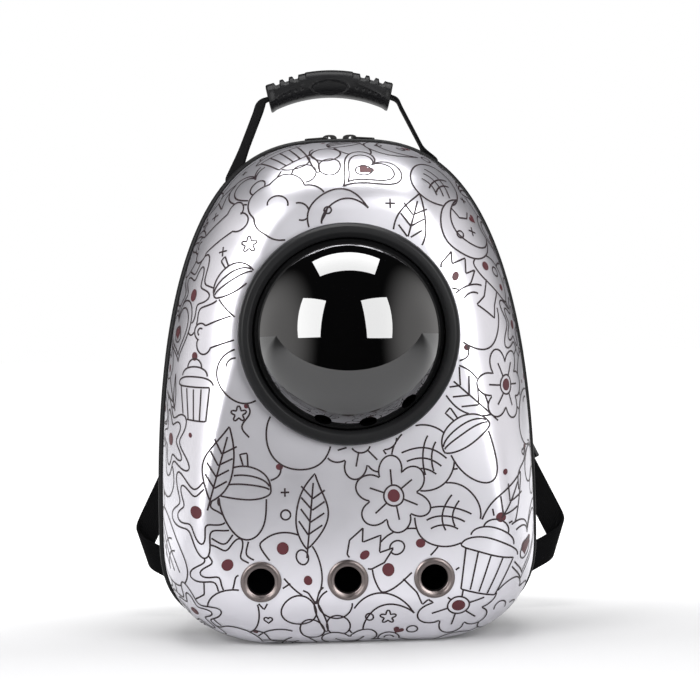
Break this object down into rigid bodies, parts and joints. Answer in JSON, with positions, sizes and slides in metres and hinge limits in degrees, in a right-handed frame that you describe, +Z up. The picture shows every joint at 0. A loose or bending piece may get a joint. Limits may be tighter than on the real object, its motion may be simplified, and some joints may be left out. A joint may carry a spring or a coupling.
{
  "type": "bubble pet carrier backpack",
  "caption": "Hard-shell pet carrier backpack with a smoked bubble window, vents, a zip round the arch, carry handle and padded shoulder straps.",
  "frame": {"origin": "on the floor, under the middle of the zip seam between the two shells", "axes": "+Z up, -Y out of the front of the bag, +X to the right of someone looking at the front"},
  "size_m": [0.3858, 0.3268, 0.4763],
  "materials": {
    "shell": "pearl silver with a thin dark line print, glossy",
    "piping": "black piping cord, satin",
    "webbing": "black woven webbing and tape",
    "zip_metal": "dark gunmetal",
    "bezel": "matte black plastic",
    "bubble": "dark smoked clear plastic, polished",
    "vent_metal": "dark nickel",
    "grip": "black moulded rubber",
    "mesh": "black padded mesh fabric",
    "buckle": "black plastic"
  },
  "bodies": {
    "shells": {"front_shell": "shell", "back_shell": "shell", "front_piping": "piping", "back_piping": "piping", "zip_tape_front": "webbing", "zip_tape_back": "webbing", "zip_chain": "zip_metal", "hinge_strip": "webbing", "zip_slider_left": "zip_metal", "zip_slider_right": "zip_metal", "window_bezel": "bezel", "vent_left": "vent_metal", "vent_middle": "vent_metal", "vent_right": "vent_metal", "handle_webbing": "webbing", "handle_grip": "grip", "back_panel": "mesh", "strap_web_left": "webbing", "strap_web_right": "webbing", "strap_buckle_left": "buckle", "strap_buckle_right": "buckle", "shoulder_pad_left": "mesh", "shoulder_pad_right": "mesh"},
    "bubble": {"bubble": "bubble"},
    "pull_left": {"zip_pull_left": "zip_metal"},
    "pull_right": {"zip_pull_right": "zip_metal"}
  },
  "joints": [
    {"name": "bubble_turn", "type": "hinge", "parent": "shells", "child": "bubble", "pos_m": [0, -0.117, 0.2475], "axis": [0, -1, 0], "range_deg": [-15, 15]},
    {"name": "pull_left_swing", "type": "hinge", "parent": "shells", "child": "pull_left", "pos_m": [-0.0102, 0, 0.4145], "axis": [0, 1, 0], "range_deg": [0, 110]},
    {"name": "pull_right_swing", "type": "hinge", "parent": "shells", "child": "pull_right", "pos_m": [0.0102, 0, 0.4145], "axis": [0, -1, 0], "range_deg": [0, 110]}
  ]
}
